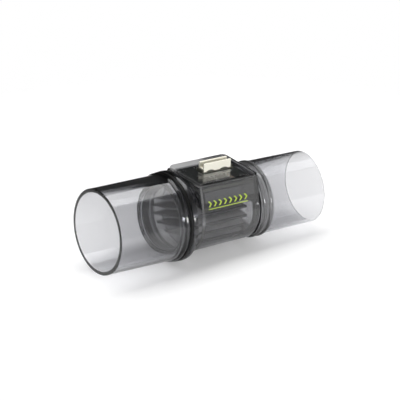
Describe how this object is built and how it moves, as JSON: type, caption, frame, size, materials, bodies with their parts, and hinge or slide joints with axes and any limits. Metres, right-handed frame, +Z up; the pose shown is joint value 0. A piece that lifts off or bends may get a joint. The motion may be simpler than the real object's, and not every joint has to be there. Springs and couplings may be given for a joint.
{
  "type": "gas flow meter",
  "caption": "In-line gas flow meter: smoke-clear inlet socket and outlet cone on a drafted housing with a screen and fins inside, a flat lid and an ivory cable header on top.",
  "frame": {"origin": "centre of the inlet mouth, on the flow axis", "axes": "+X along the gas flow from inlet to outlet, +Z up to the lid and its header, +Y to the rear"},
  "size_m": [0.0745, 0.0272, 0.0288],
  "materials": {
    "smoked_clear": "clear smoke-grey moulded plastic",
    "smoked_housing": "smoke-grey see-through moulded plastic, a little darker than the tubes",
    "black_seal": "black rubber or sealant",
    "clear_gasket": "clear silicone",
    "grey_insert": "smoke-grey see-through moulded plastic, darker than the tubes",
    "black_insert": "black moulded plastic",
    "carrier_grey": "grey moulded plastic",
    "screen_cloth": "fine grey monofilament cloth",
    "board": "dark green circuit board",
    "silicon": "polished silicon",
    "chip_package": "black moulding compound",
    "ceramic": "tan ceramic",
    "ivory": "ivory nylon",
    "tinned_contact": "tin-plated brass"
  },
  "bodies": {
    "root": {"inlet_tube": "smoked_clear", "outlet_tube": "smoked_clear", "body_housing": "smoked_housing", "lid": "smoked_housing", "inlet_seal": "black_seal", "outlet_seal": "black_seal", "lid_gasket": "clear_gasket", "bypass_gasket": "black_seal", "header_sealant": "black_seal", "inlet_screen": "screen_cloth", "inlet_retaining_ring": "grey_insert", "fin_stack": "grey_insert", "outlet_frame": "black_insert", "bypass_block": "black_insert", "sensor_carrier": "carrier_grey", "circuit_board": "board", "sensor_chip": "silicon", "chip_encapsulation": "chip_package", "signal_processor": "chip_package", "memory_chip": "chip_package", "voltage_regulator": "chip_package", "capacitors": "ceramic", "resistors": "chip_package", "header_shell": "ivory", "header_pins": "tinned_contact", "header_tabs": "tinned_contact"}
  },
  "joints": []
}
